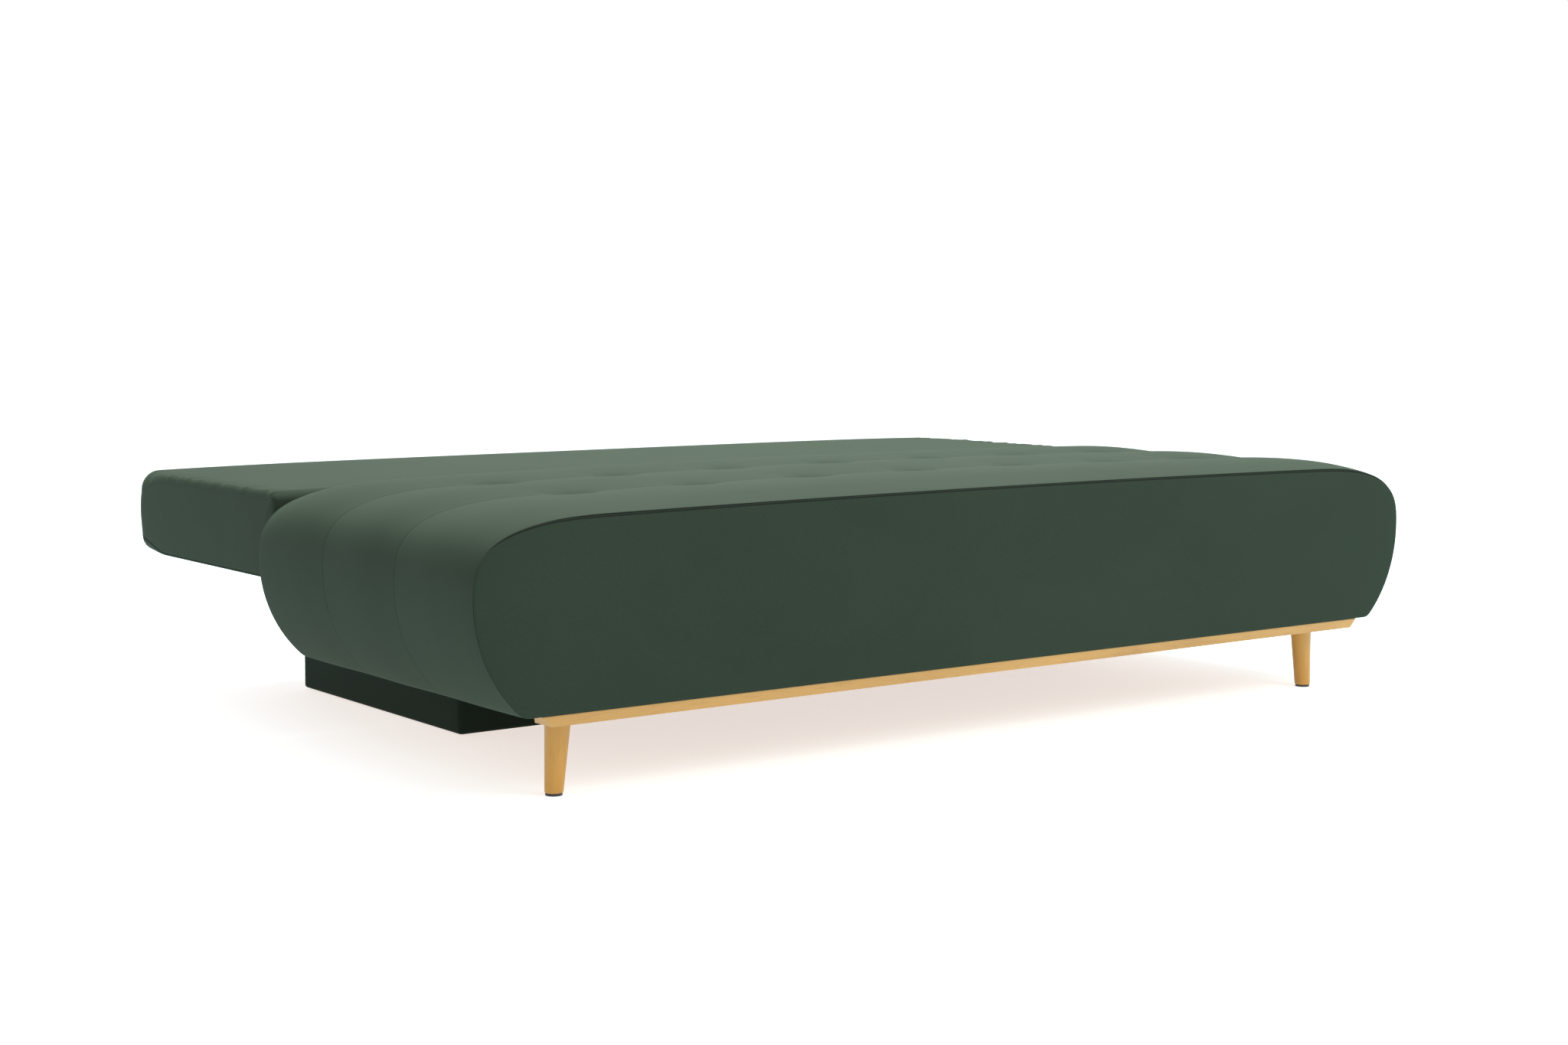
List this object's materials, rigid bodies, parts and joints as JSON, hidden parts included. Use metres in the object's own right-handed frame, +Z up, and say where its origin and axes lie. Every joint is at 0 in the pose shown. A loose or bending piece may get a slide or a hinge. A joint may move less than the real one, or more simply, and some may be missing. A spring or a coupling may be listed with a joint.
{
  "type": "sofa bed",
  "caption": "Armless sofa bed shown flat: a boat-shaped padded seat that rolls over a storage base, and a padded back that folds down behind it.",
  "frame": {"origin": "on the floor, under the centre of the bed's bounding box with the back lying flat", "axes": "+X along the length to the right as seen from the front, -Y towards the front, +Z up"},
  "size_m": [2, 1.39, 0.44],
  "materials": {
    "velvet": "smooth short-pile velvet",
    "base_velvet": "smooth short-pile velvet, darker",
    "piping": "covered cord",
    "lining": "non-woven lining cloth",
    "felt": "pressed felt",
    "foam": "open-cell foam",
    "cord": "twisted cord",
    "timber": "sawn softwood and board",
    "beech": "clear satin lacquer",
    "steel": "black satin paint",
    "bright_steel": "zinc plated",
    "plastic": "moulded",
    "bumper_rubber": "moulded"
  },
  "bodies": {
    "base": {"base_front_panel": "timber", "base_rear_panel": "timber", "base_side_left": "timber", "base_side_right": "timber", "base_bottom": "timber", "base_corner_blocks": "timber", "base_feet": "plastic", "base_cover": "base_velvet", "slide_rail_left": "steel", "slide_rail_right": "steel", "rail_bumpers": "bumper_rubber", "rest_pads": "felt"},
    "seat": {"front_board": "timber", "end_board_left": "timber", "end_board_right": "timber", "deck_front_rail": "timber", "deck_rear_rail": "timber", "deck_side_rail_left": "timber", "deck_side_rail_right": "timber", "front_sill": "timber", "seat_slats": "beech", "seat_foam": "foam", "end_foam_left": "foam", "end_foam_right": "foam", "front_foam": "foam", "seat_cover": "velvet", "front_cover": "velvet", "front_piping": "piping", "rear_cover": "velvet", "dust_cover": "lining", "tuft_ties": "cord", "wood_rail": "beech", "leg_left": "beech", "leg_right": "beech", "leg_plates": "bright_steel", "leg_bolts": "bright_steel", "leg_glides": "plastic", "roller_bracket_left": "steel", "roller_bracket_right": "steel", "roller_axles": "bright_steel", "hinge_plate_left": "steel", "hinge_plate_right": "steel", "hinge_pins": "bright_steel"},
    "back": {"back_side_left": "timber", "back_side_right": "timber", "back_cross_rails": "timber", "back_slats": "beech", "back_foam": "foam", "back_edge_foam": "foam", "back_cover": "velvet", "back_end_left": "velvet", "back_end_right": "velvet", "back_lining": "lining", "hinge_arm_left": "steel", "hinge_arm_right": "steel"},
    "roller_front_left_wheel": {"roller_front_left": "plastic"},
    "roller_rear_left_wheel": {"roller_rear_left": "plastic"},
    "roller_front_right_wheel": {"roller_front_right": "plastic"},
    "roller_rear_right_wheel": {"roller_rear_right": "plastic"}
  },
  "joints": [
    {"name": "seat_slide", "type": "slide", "parent": "base", "child": "seat", "axis": [0, 1, 0], "range_m": [0, 0.3]},
    {"name": "back_hinge", "type": "hinge", "parent": "seat", "child": "back", "pos_m": [0, 0.115, 0.36], "axis": [1, 0, 0], "range_deg": [0, 92]},
    {"name": "roller_front_left_spin", "type": "hinge", "parent": "seat", "child": "roller_front_left_wheel", "pos_m": [-0.7335, -0.085, 0.2007], "axis": [1, 0, 0], "range_deg": [-960, 5]},
    {"name": "roller_rear_left_spin", "type": "hinge", "parent": "seat", "child": "roller_rear_left_wheel", "pos_m": [-0.7335, 0.01, 0.2007], "axis": [1, 0, 0], "range_deg": [-960, 5]},
    {"name": "roller_front_right_spin", "type": "hinge", "parent": "seat", "child": "roller_front_right_wheel", "pos_m": [0.7335, -0.085, 0.2007], "axis": [1, 0, 0], "range_deg": [-960, 5]},
    {"name": "roller_rear_right_spin", "type": "hinge", "parent": "seat", "child": "roller_rear_right_wheel", "pos_m": [0.7335, 0.01, 0.2007], "axis": [1, 0, 0], "range_deg": [-960, 5]}
  ],
  "couplings": [
    {"joint": "roller_front_left_spin", "follows": "seat_slide", "rad_per_m": -55.556},
    {"joint": "roller_rear_left_spin", "follows": "seat_slide", "rad_per_m": -55.556},
    {"joint": "roller_front_right_spin", "follows": "seat_slide", "rad_per_m": -55.556},
    {"joint": "roller_rear_right_spin", "follows": "seat_slide", "rad_per_m": -55.556}
  ]
}
